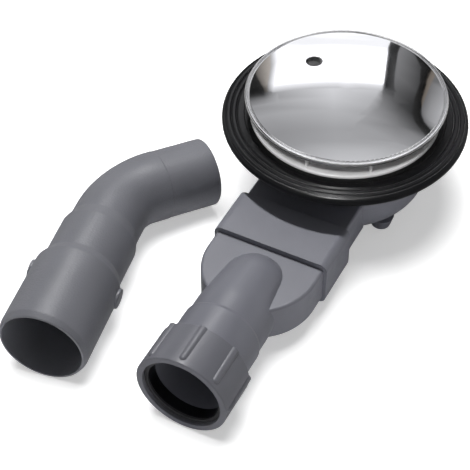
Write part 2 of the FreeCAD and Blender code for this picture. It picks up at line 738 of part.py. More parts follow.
def cap():
    """Chromed dome with a groove and a rounded bead at its rim, a short skirt and a lifting hole."""
    slant = math.sqrt(0.5)
    bead_z = CAP_BEAD_Z - CAP_BEAD_DROP
    bead_x = CAP_R - CAP_BEAD_R
    bead_foot = FreeCAD.Vector(bead_x - CAP_BEAD_R, 0, bead_z)
    dome_edge = bead_foot.x - CAP_GROOVE_W
    groove_foot = FreeCAD.Vector(dome_edge, 0, bead_z)
    roll_start = dome_point(dome_edge - CAP_ROLL_R, 0)
    roll_end = FreeCAD.Vector(dome_edge, 0, roll_start.z - CAP_ROLL_R)
    roll_middle = FreeCAD.Vector(
        dome_edge - CAP_ROLL_R * (1 - slant), 0, roll_start.z - CAP_ROLL_R * (1 - slant))
    skirt_out = CAP_R - CAP_SKIRT_IN
    skirt_in = skirt_out - CAP_SKIRT_T
    bead_end_z = bead_z - math.sqrt(CAP_BEAD_R ** 2 - (skirt_out - bead_x) ** 2)
    bead_end = FreeCAD.Vector(skirt_out, 0, bead_end_z)
    bead_low = FreeCAD.Vector(bead_x + CAP_BEAD_R * slant, 0, bead_z - CAP_BEAD_R * slant)
    corners = [
        bead_end,
        FreeCAD.Vector(skirt_out, 0, CAP_BEAD_Z - CAP_SKIRT_H),
        FreeCAD.Vector(skirt_in, 0, CAP_BEAD_Z - CAP_SKIRT_H),
        dome_point(skirt_in, CAP_T),
    ]
    rim = FreeCAD.Vector(CAP_R, 0, bead_z)
    bead_top = FreeCAD.Vector(bead_x, 0, bead_z + CAP_BEAD_R)
    edges = [
        dome_arc(0, roll_start.x, 0),
        Part.Arc(roll_start, roll_middle, roll_end).toShape(),
        Part.LineSegment(roll_end, groove_foot).toShape(),
        Part.LineSegment(groove_foot, bead_foot).toShape(),
        Part.Arc(bead_foot, bead_top, rim).toShape(),
        Part.Arc(rim, bead_low, bead_end).toShape(),
    ]
    for i in range(len(corners) - 1):
        edges.append(Part.LineSegment(corners[i], corners[i + 1]).toShape())
    edges.append(dome_arc(0, skirt_in, CAP_T))
    edges.append(Part.LineSegment(dome_point(0, CAP_T), dome_point(0, 0)).toShape())
    wire = Part.Wire(Part.__sortEdges__(edges))
    return lifting_hole(Part.Face(wire).revolve(ORIGIN, Z_AXIS, 360))


def carrier_fin(angle):
    """One upright fin that stands on the clamp ring and reaches down into its neck."""
    guide_r = NECK_IN_R - SLIP_GAP
    ring_edge = RING_R - RING_LAND
    outer = min(CARRIER_R, ring_edge)
    low = -HOOP_DEPTH
    top = dome_z(CARRIER_R, CAP_T + CARRIER_T / 2)
    seat_in = NECK_IN_R + 1.0
    seat_in_z = ring_top_z(seat_in) + FIN_SEAT_GAP
    points = [
        (outer, ring_top_z(outer) + FIN_SEAT_GAP),
        (outer, top),
        (CARRIER_IN_R, top),
        (CARRIER_IN_R, low),
        (guide_r, low),
        (guide_r, seat_in_z),
        (seat_in, seat_in_z),
    ]
    wire = outline([(FreeCAD.Vector(r, -FIN_T / 2, z), 0) for r, z in points])
    fin = Part.Face(wire).extrude(FreeCAD.Vector(0, FIN_T, 0))
    fin.rotate(ORIGIN, Z_AXIS, angle)
    return fin


def cap_carrier():
    """White carrier under the cap: a ring shaped to the dome, upright fins and a guide hoop."""
    upper = dome_arc(CARRIER_IN_R, CARRIER_R, CAP_T)
    lower = dome_arc(CARRIER_IN_R, CARRIER_R, CAP_T + CARRIER_T)
    inner = Part.LineSegment(
        dome_point(CARRIER_IN_R, CAP_T), dome_point(CARRIER_IN_R, CAP_T + CARRIER_T)).toShape()
    outer = Part.LineSegment(
        dome_point(CARRIER_R, CAP_T), dome_point(CARRIER_R, CAP_T + CARRIER_T)).toShape()
    wire = Part.Wire(Part.__sortEdges__([upper, lower, inner, outer]))
    plate = Part.Face(wire).revolve(ORIGIN, Z_AXIS, 360)
    hoop = disc(NECK_IN_R - SLIP_GAP, -HOOP_DEPTH, -HOOP_DEPTH + HOOP_H)
    hoop = hoop.cut(disc(CARRIER_IN_R, -HOOP_DEPTH, -HOOP_DEPTH + HOOP_H))
    fins = [carrier_fin(-90.0 + i * 360.0 / FIN_COUNT) for i in range(FIN_COUNT)]
    return fuse_all([plate, hoop] + fins)


def outlet_adapter():
    """Plug and flat head that blend into the round pipe, with the union thread at its mouth."""
    high = DUCT_Z + DUCT_H / 2
    low = high - FLAT_H
    plug = flat_bar(DUCT_W, DUCT_H, DUCT_Z, DUCT_CORNER, SOCKET_STOP, FLAT_TURN_Y)
    head = head_plate(FLAT_W / 2, FLAT_NOSE, low, high, SOCKET_END)
    head = head.makeFillet(FLAT_EDGE_R, level_edges(head, -SOCKET_END))
    mouth = turned_on_pipe([
        (PIPE_END - PIPE_JOIN, 0, 0),
        (PIPE_END - PIPE_JOIN, PIPE_R, 0),
        (PIPE_END, PIPE_R, WIDE_EDGE),
        (PIPE_STEP_Y, PIPE_STEP_R, WIDE_EDGE),
        (THREAD_START, PIPE_STEP_R, 0),
        (THREAD_START, THREAD_R, FINE_EDGE),
        (THREAD_END, THREAD_R, EDGE),
        (THREAD_END, 0, 0),
    ])
    pipe = domed_pipe(0, PIPE_END - PIPE_JOIN)
    outside = fuse_all([head, plug, pipe, mouth])
    room = flat_bar(
        DUCT_W - 2 * ADAPTER_WALL, DUCT_H - 2 * ADAPTER_WALL, DUCT_Z, DUCT_INNER_CORNER,
        SOCKET_STOP - SPARE, FLAT_TURN_Y)
    nose_room = head_plate(
        FLAT_W / 2 - ADAPTER_WALL, FLAT_NOSE - ADAPTER_WALL, low + ADAPTER_WALL, high - ADAPTER_WALL,
        SOCKET_END + ADAPTER_WALL)
    bore = domed_pipe(PIPE_BORE_WALL, SPIGOT_STOP)
    socket = on_pipe(SPIGOT_BORE_R, SPIGOT_STOP, THREAD_END + SEAL_SEAT_IN)
    seat = turned_on_pipe([
        (THREAD_END - SEAL_SEAT_IN, SPIGOT_BORE_R - SEAL_SEAT_IN, 0),
        (THREAD_END - SEAL_SEAT_IN, SPIGOT_BORE_R, 0),
        (THREAD_END + SEAL_SEAT_IN, SPIGOT_BORE_R + 2 * SEAL_SEAT_IN, 0),
        (THREAD_END + SEAL_SEAT_IN, SPIGOT_BORE_R - SEAL_SEAT_IN, 0),
    ])
    grooves = []
    turns = int((THREAD_END - THREAD_START - THREAD_PITCH) / THREAD_PITCH)
    for i in range(turns):
        middle = THREAD_START + THREAD_PITCH * (i + 1)
        grooves.append(turned_on_pipe([
            (middle - THREAD_DEPTH - SPARE, THREAD_R + SPARE, 0),
            (middle, THREAD_R - THREAD_DEPTH, 0),
            (middle + THREAD_DEPTH + SPARE, THREAD_R + SPARE, 0),
        ]))
    return outside.cut([room, nose_room, bore, socket, seat] + grooves)


def nut_rib(angle):
    """Tapered rib from the nut's rear face to a rounded tip behind its front edge."""
    tip = NUT_END - NUT_RIB_END - NUT_RIB_R
    rear_y = NUT_START - NUT_RIB_R
    rear = FreeCAD.Vector(0, -rear_y, PIPE_Z + NUT_R + NUT_RIB_PROUD - NUT_RIB_REAR_R)
    front = FreeCAD.Vector(0, -tip, PIPE_Z + NUT_R + NUT_RIB_PROUD - NUT_RIB_R)
    run = front - rear
    rib = Part.makeCone(NUT_RIB_REAR_R, NUT_RIB_R, run.Length, rear, run)
    rib = rib.fuse(Part.makeSphere(NUT_RIB_R, front))
    rib.rotate(FreeCAD.Vector(0, 0, PIPE_Z), Y_AXIS, angle)
    rib = rib.common(on_pipe(NUT_R + NUT_RIB_R, NUT_START, NUT_END))
    return rib.cut(on_pipe(NUT_R - NUT_RIB_SINK, NUT_START, NUT_END))


def union_nut():
    """Ribbed nut that squeezes the cone seal onto a pushed-in pipe."""
    front = NUT_END - NUT_LIP
    thread_start = NUT_START + NUT_BACK_LIP
    nut = turned_on_pipe([
        (NUT_START, PIPE_STEP_R + THREAD_GAP, FINE_EDGE),
        (NUT_START, NUT_R, EDGE),
        (NUT_END, NUT_R, NUT_EDGE),
        (NUT_END, NUT_HOLE_R, FINE_EDGE),
        (front, NUT_HOLE_R, 0),
        (front, NUT_IN_R, 0),
        (thread_start, NUT_IN_R, 0),
        (thread_start, PIPE_STEP_R + THREAD_GAP, 0),
    ])
    ribs = [nut_rib(i * 360.0 / NUT_RIB_COUNT) for i in range(NUT_RIB_COUNT)]
    return fuse_all([nut] + ribs)


def cone_seal():
    """Rubber ring with a tapered nose that seats in the adapter's mouth."""
    front = NUT_END - NUT_LIP - SLIP_T
    nose = THREAD_END - SEAL_SEAT_IN + SEAL_NOSE_GAP
    inner = SPIGOT_R + SEAL_BORE_GAP
    return turned_on_pipe([
        (nose, inner, 0),
        (nose, SPIGOT_BORE_R + SEAL_NOSE_T, 0),
        (THREAD_END, SPIGOT_BORE_R + SEAL_SEAT_IN - SEAL_FACE_GAP, 0),
        (THREAD_END, NUT_IN_R - SLIP_GAP, 0),
        (front, NUT_IN_R - SLIP_GAP, FINE_EDGE),
        (front, inner, FINE_EDGE),
    ])


def slip_washer():
    """Thin hard washer that lets the nut turn on the cone seal."""
    front = NUT_END - NUT_LIP
    return turned_on_pipe([
        (front - SLIP_T, SPIGOT_BORE_R, 0),
        (front - SLIP_T, NUT_IN_R - SLIP_GAP, 0),
        (front, NUT_IN_R - SLIP_GAP, 0),
        (front, SPIGOT_BORE_R, 0),
    ])


def along(corners):
    """Solid of revolution about +Y from (distance, radius, corner radius) triples."""
    wire = outline([(FreeCAD.Vector(0, y, r), fillet) for y, r, fillet in corners])
    return Part.Face(wire).revolve(ORIGIN, Y_AXIS, 360)


def bend_point(radius, side, share):
    """Point on the bend's outer (side 1) or inner (side -1) line, at a share of its length."""
    half = math.radians(ELBOW_ANGLE / 2)
    arc_r = BEND_OUTER_R if side > 0 else BEND_INNER_R
    arc_r = arc_r + side * (radius - ELBOW_R)
    straight = BEND_REACH - (arc_r - side * radius) * math.tan(half)
    run = share * (2 * straight + arc_r * 2 * half)
    turn = min(max((run - straight) / arc_r, 0.0), 2 * half)
    before = min(run, straight)
    after = max(run - straight - arc_r * 2 * half, 0.0)
    x = arc_r * (1 - math.cos(turn)) + after * math.sin(2 * half) - side * radius
    y = before + arc_r * math.sin(turn) + after * math.cos(2 * half)
    return FreeCAD.Vector(x, y, 0)


def bend(radius, start):
    """Bend that is round everywhere, with a wide sweep outside and a tight one inside."""
    rings = []
    for i in range(BEND_SECTIONS):
        share = i / (BEND_SECTIONS - 1)
        outer = bend_point(radius, 1, share)
        inner = bend_point(radius, -1, share)
        chord = inner - outer
        ring = Part.Wire([Part.makeCircle(chord.Length / 2, ORIGIN, Y_AXIS)])
        ring.rotate(ORIGIN, Z_AXIS, math.degrees(math.atan2(chord.y, chord.x)))
        ring.translate((outer + inner) * 0.5 + Y_AXIS * start)
        rings.append(ring)
    return Part.makeLoft(rings, True, False)


def second_leg(corners, start):
    """Turned solid that runs on from the bend's far end."""
    leg = along(corners)
    turn = math.radians(ELBOW_ANGLE)
    leg.rotate(ORIGIN, Z_AXIS, -ELBOW_ANGLE)
    leg.translate(FreeCAD.Vector(BEND_REACH * math.sin(turn), start + BEND_REACH * (1 + math.cos(turn)), 0))
    return leg


def rest_roll():
    """Roll about the wide end's axis that brings the spigot's rim down to the ground."""
    side = math.sin(math.radians(ELBOW_ANGLE))
    low = 0.0
    high = 30.0
    for _ in range(40):
        roll = (low + high) / 2
        drop = side * math.sin(math.radians(roll))
        centre_z = ELBOW_END_R - (BEND_REACH + BEND_AFTER + SPIGOT_LENGTH) * drop
        rim_low = centre_z - SPIGOT_R * math.sqrt(1 - drop ** 2)
        if rim_low > 0:
            low = roll
        else:
            high = roll
    return low


def outlet_elbow():
    """Stepped elbow with a wide end and a spigot that fits the union nut, lying on the ground."""
    mid_start = ELBOW_END_LENGTH + ELBOW_RAMP_1
    mid_end = mid_start + ELBOW_MID_LENGTH
    neck = mid_end + ELBOW_RAMP_2
    bend_y = neck + BEND_BEFORE
    leg_2 = BEND_AFTER + SPIGOT_LENGTH
    bore_r = SPIGOT_R - ELBOW_WALL
    mid_bore_r = ELBOW_MID_R - ELBOW_WALL
    end_bore_r = ELBOW_END_R - ELBOW_WALL
    outer_1 = along([
        (0, 0, 0),
        (0, ELBOW_BEVEL_R, FINE_EDGE),
        (ELBOW_BEVEL_LENGTH, ELBOW_END_R, ELBOW_ROUND),
        (ELBOW_END_LENGTH, ELBOW_END_R, ELBOW_ROUND),
        (mid_start, ELBOW_MID_R, ELBOW_ROUND),
        (mid_end, ELBOW_MID_R, ELBOW_ROUND),
        (neck, ELBOW_R, ELBOW_ROUND),
        (bend_y, ELBOW_R, 0),
        (bend_y, 0, 0),
    ])
    outer_2 = second_leg([
        (0, 0, 0),
        (0, ELBOW_R, 0),
        (BEND_AFTER, ELBOW_R, 0),
        (BEND_AFTER + EDGE, SPIGOT_R, 0),
        (leg_2, SPIGOT_R, SOFT_EDGE),
        (leg_2, 0, 0),
    ], bend_y)
    lugs = []
    for side in (-1, 1):
        base = FreeCAD.Vector(side * (end_bore_r + SPARE), LUG_Y, 0)
        height = ELBOW_WALL + LUG_PROUD - SPARE
        lug = Part.makeCylinder(LUG_R, height, base, X_AXIS * side)
        tip = max(lug.Edges, key=lambda e: side * e.BoundBox.Center.x)
        lugs.append(lug.makeFillet(LUG_ROUND, [tip]))
    outside = fuse_all([outer_1, bend(ELBOW_R, bend_y), outer_2] + lugs)
    inner_1 = along([
        (-SPARE, 0, 0),
        (-SPARE, end_bore_r, 0),
        (ELBOW_END_LENGTH, end_bore_r, 0),
        (mid_start, mid_bore_r, 0),
        (mid_end, mid_bore_r, 0),
        (neck, bore_r, 0),
        (bend_y, bore_r, 0),
        (bend_y, 0, 0),
    ])
    inner_2 = second_leg([
        (0, 0, 0),
        (0, bore_r, 0),
        (leg_2 + SPARE, bore_r, 0),
        (leg_2 + SPARE, 0, 0),
    ], bend_y)
    elbow = outside.cut(fuse_all([inner_1, bend(bore_r, bend_y), inner_2]))
    elbow.rotate(ORIGIN, Y_AXIS, rest_roll())
    elbow.rotate(ORIGIN, Z_AXIS, ELBOW_TURN)
    elbow.translate(FreeCAD.Vector(ELBOW_X, ELBOW_Y, GROUND_Z + ELBOW_END_R))
    return elbow


def build():
    """Every piece of the trap by node name."""
    pieces = {
        "trap_housing": trap_housing(),
        "trap_bowl": trap_bowl(),
        "flange_gasket": flange_gasket(),
        "ring_washer": ring_washer(),
        "clamp_ring": clamp_ring(),
        "inlet_tube": inlet_tube(),
        "inlet_tube_seal": inlet_tube_seal(),
        "water_cup": water_cup(),
        "hair_strainer": hair_strainer(),
        "cap_carrier": cap_carrier(),
        "cap": cap(),
        "outlet_adapter": outlet_adapter(),
        "union_nut": union_nut(),
        "cone_seal": cone_seal(),
        "slip_washer": slip_washer(),
        "outlet_elbow": outlet_elbow(),
    }
    for number, (x, y) in enumerate(boss_places(), start=1):
        pieces["clamp_screw_%d" % number] = clamp_screw(x, y)
        pieces["brass_insert_%d" % number] = brass_insert(x, y)
    return pieces


for name, shape in build().items():
    solid = shape.Solids[0] if len(shape.Solids) == 1 else shape
    print(name, len(shape.Solids), shape.isValid(), round(shape.Volume, 1))
    solid.exportStep("parts/%s.step" % name)
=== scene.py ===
"""Shower trap: the looks, floor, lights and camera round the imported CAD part. Lengths are in metres."""

import json
import math

import bpy
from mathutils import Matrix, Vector


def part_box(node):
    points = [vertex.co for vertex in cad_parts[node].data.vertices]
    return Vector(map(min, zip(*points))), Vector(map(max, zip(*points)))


# Camera, fitted to the photograph. The lens and the sensor are in mm.
CAMERA_PLACE = (0.2324, -0.5865, 0.5649)
CAMERA_LOOK = (-0.3146, 0.6089, -0.7282)
CAMERA_LENS = 113.12
CAMERA_SENSOR = 36.0
CAMERA_NEAR = 0.01
CAMERA_FAR = 100.0

# Floor, just under the lowest edge of the nut and the elbow. It has one shade for the camera, one for
# the light that it throws back onto the object and one for mirrors.
FLOOR_HALF = 6.0
FLOOR_DROP = 0.00005
FLOOR_ROUGH = 0.9
FLOOR_SEEN = 0.82
FLOOR_BOUNCE = 0.9
FLOOR_MIRRORED = 0.12

# Glow that lifts the floor for the camera, even as far as the first radius and full at the second
FLOOR_LIFT = 0.43
FLOOR_LIT_R = 0.8
FLOOR_WHITE_R = 1.3

# Lamps, by the way from the object to each: a small one high at the rear left for all nodes but the cap,
# a wide one for the floor alone, and one high in front for the clamp ring, the carrier and the flange
LAMP_DISTANCE = 1.2
KEY_WAY = (-0.277, 0.206, 0.939)
KEY_SIZE = 0.09
KEY_POWER = 11.0
FLOOR_LAMP_WAY = (-0.14, 0.02, 1.0)
FLOOR_LAMP_SIZE = 0.95
FLOOR_LAMP_POWER = 27.0
RING_LAMP_WAY = (0.13, -0.55, 0.83)
RING_LAMP_SIZE = 0.2
RING_LAMP_POWER = 9.0
RING_LAMP_NODES = ("clamp_ring", "cap_carrier", "flange_gasket")

# Even light of the studio on matt surfaces, and the white that the camera sees behind the floor
FILL_LEVEL = 0.17
BACKDROP_SEEN = 1.0

# What mirrors see of the studio. Each step is (upward part of the look, level), from the horizon to
# straight up: dark at the horizon, a pale band above it, dark sides, a bright ring high up and a grey top.
STUDIO_STEPS = (
    (0.0, 0.08), (0.1, 0.12), (0.18, 0.5), (0.3, 0.45), (0.48, 0.02),
    (0.8, 0.004), (0.87, 1.5), (0.94, 1.5), (0.97, 0.4), (1.0, 0.3),
)

# Low pale strip that only mirrors see, from the object's right round its back to its left: its distance,
# its heights, its run and steps in degrees, its level, the share of that level at both ends and the
# degrees over which the share grows to the whole
STRIP_R = 2.5
STRIP_LOW = 0.2
STRIP_TOP = 0.95
STRIP_RUN = (15, 215)
STRIP_STEP = 10
STRIP_LEVEL = 0.85
STRIP_END_SHARE = 0.4
STRIP_FADE = 20.0

# Plane where the chrome cap mirrors the studio, square to the mirrored line of sight at the cap's
# middle. A card of a higher layer stands nearer to the cap.
CARD_DISTANCE = 1.5
CARD_WAY = Vector((-0.3146, 0.6089, 0.7282))
CARD_SIDE = Vector((0.8884, 0.4590, 0.0))
CARD_UP = Vector((0.3343, -0.6469, 0.6854))
CARD_LAYER = 0.004
MM_PER_METRE = 1000

# Tints of the cards
PLAIN_TINT = (1.0, 1.0, 1.0)
STUDIO_TINT = (0.985, 0.99, 1.02)
POST_TINT = (1.08, 1.0, 0.92)
EDGE_TINT = (1.15, 1.0, 0.86)

# Cards that the chrome cap mirrors: a pale wall, a softbox in front of it and dark stands at both sides.
# Each is (name, rows, layer, tint), and each row is (height, left, right, level at left, level at right),
# with places on the card plane in mm.
CARDS = (
    ("card_wall_left", (
        (-760, -900, 50, 0.05, 0.50),
        (-140, -420, 50, 0.12, 0.78),
        (-60, -420, 50, 0.26, 0.69),
        (30, -420, 50, 0.36, 0.55),
        (170, -420, 50, 0.27, 0.42),
        (260, -420, 50, 0.30, 0.43),
        (390, -420, 50, 0.40, 0.66),
        (700, -420, 50, 0.60, 0.90),
    ), 0, STUDIO_TINT),
    ("card_wall_right", (
        (-760, 50, 300, 0.50, 0.50),
        (-140, 50, 300, 0.78, 0.62),
        (-60, 50, 300, 0.69, 0.46),
        (30, 50, 300, 0.55, 0.40),
        (170, 50, 300, 0.42, 0.38),
        (260, 50, 300, 0.43, 0.43),
        (390, 50, 300, 0.66, 0.69),
        (700, 50, 300, 0.90, 0.90),
    ), 0, STUDIO_TINT),
    ("card_wall_far", (
        (-760, 300, 1100, 0.50, 0.50),
        (-140, 300, 1100, 0.62, 0.60),
        (30, 300, 1100, 0.40, 0.40),
        (260, 300, 1100, 0.43, 0.44),
        (390, 300, 1100, 0.69, 0.80),
        (700, 300, 1100, 0.90, 0.90),
    ), 0, STUDIO_TINT),
    ("card_left_beyond", (
        (-760, -900, -330, 0.03, 0.03),
        (-150, -900, -330, 0.03, 0.03),
        (-110, -900, -330, 0.12, 0.12),
        (-60, -900, -330, 0.30, 0.30),
    ), 1, STUDIO_TINT),
    ("card_left_side", (
        (-760, -330, -250, 0.02, 0.02),
        (-215, -330, -250, 0.012, 0.022),
        (-180, -330, -250, 0.008, 0.016),
        (-150, -330, -250, 0.018, 0.022),
        (-130, -330, -250, 0.04, 0.06),
        (-110, -330, -250, 0.11, 0.19),
        (-90, -330, -250, 0.19, 0.29),
        (-60, -330, -250, 0.31, 0.37),
    ), 1, STUDIO_TINT),
    ("card_left_slope", (
        (-760, -250, -130, 0.03, 0.03),
        (-215, -250, -190, 0.035, 0.30),
        (-180, -250, -190, 0.03, 0.25),
        (-150, -250, -190, 0.04, 0.45),
        (-130, -250, -190, 0.09, 0.46),
        (-110, -250, -190, 0.20, 0.48),
        (-90, -250, -190, 0.30, 0.48),
        (-60, -250, -190, 0.38, 0.48),
    ), 1, STUDIO_TINT),
    ("card_right_shade", (
        (-640, 272, 345, 0.20, 0.10),
        (-150, 270, 345, 0.13, 0.07),
        (-100, 270, 345, 0.20, 0.07),
        (-60, 270, 345, 0.23, 0.09),
        (0, 250, 345, 0.30, 0.12),
        (60, 200, 345, 0.40, 0.19),
        (120, 150, 345, 0.41, 0.24),
        (240, 120, 345, 0.42, 0.38),
    ), 1, STUDIO_TINT),
    ("card_right_slope", (
        (-150, 256, 272, 0.60, 0.13),
        (-100, 244, 272, 0.54, 0.20),
        (-60, 226, 272, 0.50, 0.23),
        (0, 205, 252, 0.46, 0.30),
        (60, 160, 202, 0.44, 0.40),
    ), 1, STUDIO_TINT),
    ("card_right_deep", (
        (-150, 345, 430, 0.08, 0.06),
        (-60, 345, 430, 0.08, 0.03),
        (30, 345, 430, 0.15, 0.03),
        (120, 345, 480, 0.24, 0.04),
        (240, 345, 590, 0.38, 0.30),
    ), 1, STUDIO_TINT),
    ("card_softbox", (
        (-900, -130, 420, 1.8, 1.8),
        (-650, -150, 350, 1.8, 1.8),
        (-615, -155, 338, 1.3, 1.0),
        (-585, -157, 305, 1.06, 1.1),
        (-540, -160, 300, 1.06, 1.1),
        (-480, -148, 296, 1.8, 1.8),
        (-215, -196, 276, 1.8, 1.8),
        (-180, -205, 272, 1.0, 0.9),
        (-140, -214, 268, 0.55, 0.6),
    ), 2, STUDIO_TINT),
    ("card_softbox_edge", (
        (-585, -182, -157, 0.60, 1.06),
        (-480, -176, -148, 0.50, 1.5),
        (-215, -225, -196, 0.38, 1.25),
        (-180, -229, -204, 0.28, 0.95),
        (-150, -230, -211, 0.20, 0.60),
    ), 3, STUDIO_TINT),
    ("card_left_post", (
        (-620, -188, -150, 0.60, 0.60),
        (-470, -206, -160, 0.30, 0.62),
        (-400, -246, -180, 0.12, 0.50),
        (-300, -256, -192, 0.12, 0.56),
        (-215, -252, -210, 0.14, 0.50),
        (-180, -248, -214, 0.05, 0.34),
        (-150, -246, -224, 0.04, 0.22),
    ), 2, POST_TINT),
    ("card_right_panel", (
        (-600, 340, 380, 0.30, 0.12),
        (-560, 340, 415, 0.26, 0.08),
        (-400, 330, 452, 0.24, 0.05),
        (-300, 322, 452, 0.22, 0.05),
        (-150, 322, 440, 0.13, 0.05),
        (-60, 318, 420, 0.13, 0.03),
    ), 2, STUDIO_TINT),
    ("card_right_post", (
        (-606, 306, 350, 0.55, 0.60),
        (-584, 306, 350, 0.12, 0.10),
        (-550, 304, 344, 0.03, 0.02),
        (-300, 290, 324, 0.03, 0.07),
        (-190, 276, 318, 0.02, 0.07),
        (-140, 272, 330, 0.12, 0.10),
    ), 3, STUDIO_TINT),
    ("card_right_far", (
        (-760, 400, 560, 0.60, 0.60),
        (-560, 415, 560, 0.40, 0.40),
        (-390, 480, 560, 0.20, 0.13),
        (-290, 478, 560, 0.16, 0.18),
        (-200, 462, 545, 0.12, 0.44),
        (-40, 440, 520, 0.13, 0.46),
        (60, 465, 525, 0.16, 0.52),
        (260, 600, 700, 0.44, 0.44),
    ), 2, STUDIO_TINT),
    ("card_right_beyond", (
        (-760, 560, 1100, 0.60, 0.60),
        (-390, 560, 1100, 0.13, 0.13),
        (-200, 545, 1100, 0.44, 0.44),
        (60, 525, 1100, 0.52, 0.46),
        (260, 700, 1100, 0.44, 0.44),
    ), 2, STUDIO_TINT),
    ("card_right_edge", (
        (-600, 392, 408, 0.10, 0.16),
        (-390, 472, 494, 0.14, 0.20),
        (-250, 462, 482, 0.12, 0.20),
        (-40, 432, 446, 0.10, 0.16),
    ), 3, EDGE_TINT),
    ("card_right_bar", (
        (-640, 350, 376, 0.02, 0.01),
        (-600, 362, 394, 0.02, 0.01),
        (-390, 436, 473, 0.03, 0.005),
        (-250, 434, 463, 0.02, 0.003),
        (-120, 412, 446, 0.03, 0.005),
        (0, 404, 448, 0.03, 0.005),
        (60, 418, 468, 0.03, 0.005),
        (120, 452, 500, 0.04, 0.01),
        (180, 478, 525, 0.12, 0.03),
        (250, 545, 612, 0.25, 0.10),
    ), 4, PLAIN_TINT),
)

# Finish of each material slot: its colour and the share by which that varies, its roughness from lowest
# to highest, its grain in waves to the metre and in depth, and the radius of its softened edges
FINISHES = {
    "grey_plastic": {
        "name": "satin_grey_plastic", "colour": (0.203, 0.206, 0.240), "variation": 0.03,
        "rough": (0.36, 0.44), "grain_waves": 1200.0, "grain_depth": 0.00006, "edge": 0.0004,
    },
    "nut_plastic": {
        "name": "satin_nut_plastic", "colour": (0.172, 0.174, 0.200), "variation": 0.03,
        "rough": (0.32, 0.40), "grain_waves": 1200.0, "grain_depth": 0.00005, "edge": 0.0004,
    },
    "elbow_plastic": {
        "name": "satin_elbow_plastic", "colour": (0.202, 0.205, 0.230), "variation": 0.03,
        "rough": (0.36, 0.46), "grain_waves": 1000.0, "grain_depth": 0.0002, "edge": 0.0004,
    },
    "white_plastic": {
        "name": "satin_white_plastic", "colour": (0.80, 0.795, 0.80), "variation": 0.015,
        "rough": (0.3, 0.38), "grain_waves": 1200.0, "grain_depth": 0.00002, "edge": 0.0003,
    },
    "black_rubber": {
        "name": "soft_black_rubber", "colour": (0.004, 0.004, 0.0048), "specular": 0.3, "variation": 0.12,
        "rough": (0.28, 0.35), "grain_waves": 1300.0, "grain_depth": 0.00002, "edge": 0.0003,
    },
    "dark_washer": {
        "name": "dark_washer", "colour": (0.05, 0.05, 0.054), "variation": 0.06,
        "rough": (0.4, 0.5), "grain_waves": 1300.0, "grain_depth": 0.00002, "edge": 0.0002,
    },
    "bright_chrome": {
        "name": "bright_chrome", "colour": (0.86, 0.86, 0.87), "metallic": 1.0, "variation": 0.004,
        "rough": (0.03, 0.045), "grain_waves": 60.0, "grain_depth": 0.0000004, "edge": 0.0004,
    },
    "stainless_steel": {
        "name": "stainless_steel", "colour": (0.62, 0.61, 0.60), "metallic": 1.0, "variation": 0.03,
        "rough": (0.2, 0.3), "grain_waves": 2500.0, "grain_depth": 0.000006, "edge": 0.0002,
    },
    "insert_brass": {
        "name": "insert_brass", "colour": (0.74, 0.56, 0.27), "metallic": 1.0, "variation": 0.04,
        "rough": (0.25, 0.35), "grain_waves": 2500.0, "grain_depth": 0.000006, "edge": 0.0002,
    },
}

# Patterns that all finishes share: clouds in the colour, patches in the roughness and the grain in the
# bump. A noise pattern keeps mostly between its low and its high value.
CLOUD_WAVES = 38.0
CLOUD_DETAIL = 4.0
PATCH_WAVES = 190.0
PATCH_DETAIL = 5.0
PATCH_SWIRL = 0.4
GRAIN_DETAIL = 3.0
NOISE_LOW = 0.35
NOISE_HIGH = 0.65
EDGE_SAMPLES = 4

# Sockets of a mix node for each kind of data: first value, second value and result
MIX_SOCKETS = {"FLOAT": (2, 3, 0), "RGBA": (6, 7, 2)}


def feed(tree, made, sources):
    """Sets a node's inputs. Each source is a socket to link from, or a plain value."""
    for key, source in sources.items():
        if isinstance(source, bpy.types.NodeSocket):
            tree.links.new(source, made.inputs[key])
        else:
            made.inputs[key].default_value = source


def node(tree, kind, sources=None, **settings):
    """A new node with its settings and its inputs."""
    made = tree.nodes.new(kind)
    for key, value in settings.items():
        setattr(made, key, value)
    feed(tree, made, sources or {})
    return made


def noise(tree, place, waves, detail, swirl=0.0):
    """A noise pattern with so many waves to the metre."""
    sources = {"Vector": place, "Scale": waves, "Detail": detail, "Distortion": swirl}
    return node(tree, "ShaderNodeTexNoise", sources).outputs["Fac"]


def spread(tree, value, low, high, from_low=NOISE_LOW, from_high=NOISE_HIGH):
    """Maps a value, and mostly the busy middle of a noise pattern, onto low to high."""
    sources = {"Value": value, "From Min": from_low, "From Max": from_high, "To Min": low, "To Max": high}
    return node(tree, "ShaderNodeMapRange", sources).outputs["Result"]


def mixed(tree, kind, share, first, second):
    """Goes from the first value to the second as the share goes from 0 to 1."""
    at_first, at_second, at_result = MIX_SOCKETS[kind]
    sources = {0: share, at_first: first, at_second: second}
    return node(tree, "ShaderNodeMix", sources, data_type=kind).outputs[at_result]


def shade(colour, factor):
    """A colour made darker or lighter, with its alpha."""
    return (*(channel * factor for channel in colour), 1.0)


def grey(level):
    """A colour with no tint, by its level."""
    return shade(PLAIN_TINT, level)


